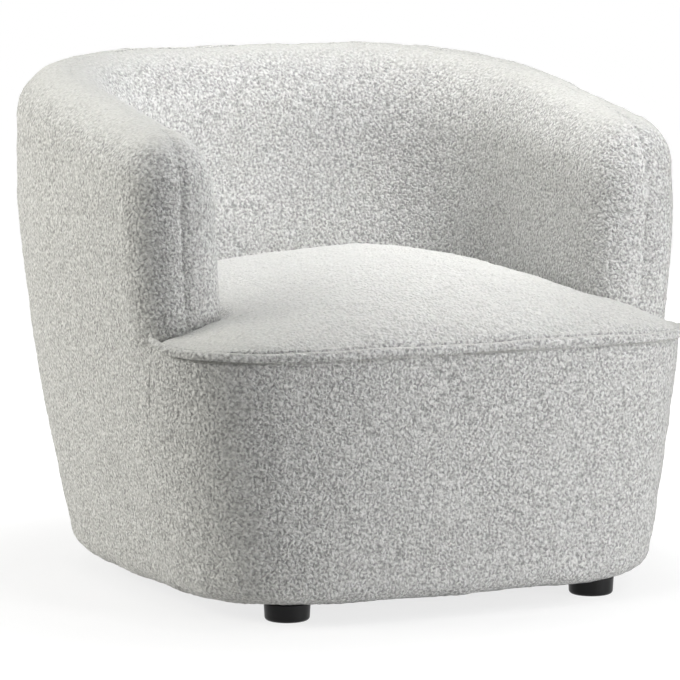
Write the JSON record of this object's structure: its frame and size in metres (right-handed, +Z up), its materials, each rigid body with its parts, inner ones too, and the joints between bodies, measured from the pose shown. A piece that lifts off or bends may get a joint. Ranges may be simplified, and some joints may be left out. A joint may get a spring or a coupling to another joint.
{
  "type": "tub chair",
  "caption": "Upholstered tub chair: a rounded wall forms back and arms round a tight, crowned seat with a flanged front seam, on short round feet.",
  "frame": {"origin": "on the floor, under the middle of the chair's bounding box", "axes": "+Z up, the seat opens towards -Y, +X to the right as seen from the front"},
  "size_m": [0.81, 0.8, 0.7],
  "materials": {
    "boucle": "looped boucle, matte",
    "foam": "open-cell foam, matte",
    "wadding": "bonded fibre, matte",
    "plywood": "sawn plywood",
    "beech": "planed, unfinished",
    "fibreboard": "smooth hardboard",
    "spring_steel": "drawn wire",
    "zinc_steel": "zinc plated",
    "black_cloth": "spun-bond cloth",
    "foot_plastic": "satin moulded"
  },
  "bodies": {
    "root": {"base_rail_front": "plywood", "base_rail_back": "plywood", "base_rail_left": "plywood", "base_rail_right": "plywood", "seat_rail_front": "plywood", "seat_rail_back": "plywood", "seat_rail_left": "plywood", "seat_rail_right": "plywood", "front_post_left": "beech", "front_post_right": "beech", "side_post_left": "beech", "side_post_right": "beech", "rear_post_left": "beech", "rear_post_right": "beech", "arm_upright_left": "beech", "arm_upright_right": "beech", "mid_upright_left": "beech", "mid_upright_right": "beech", "corner_upright_left": "beech", "corner_upright_right": "beech", "back_upright_left": "beech", "back_upright_right": "beech", "top_rail": "plywood", "foot_blocks": "beech", "frame_screws": "zinc_steel", "inner_panel": "fibreboard", "outer_panel": "fibreboard", "apron_panel": "fibreboard", "seat_springs": "spring_steel", "spring_clips": "spring_steel", "spring_ties": "spring_steel", "spring_cloth": "black_cloth", "seat_foam": "foam", "seat_wadding": "wadding", "back_foam": "foam", "arm_foam_left": "foam", "arm_foam_right": "foam", "arm_front_foam_left": "foam", "arm_front_foam_right": "foam", "rim_foam": "foam", "outer_wadding": "wadding", "apron_foam": "foam", "outer_cover_left": "boucle", "outer_cover_right": "boucle", "inside_back_cover": "boucle", "inside_arm_cover_left": "boucle", "inside_arm_cover_right": "boucle", "apron_cover": "boucle", "seat_cover": "boucle", "seat_welt": "boucle", "dust_cover": "black_cloth", "dust_cover_staples": "zinc_steel", "foot_front_left": "foot_plastic", "foot_front_right": "foot_plastic", "foot_rear_left": "foot_plastic", "foot_rear_right": "foot_plastic", "foot_bolts": "zinc_steel", "foot_nuts": "zinc_steel"}
  },
  "joints": []
}
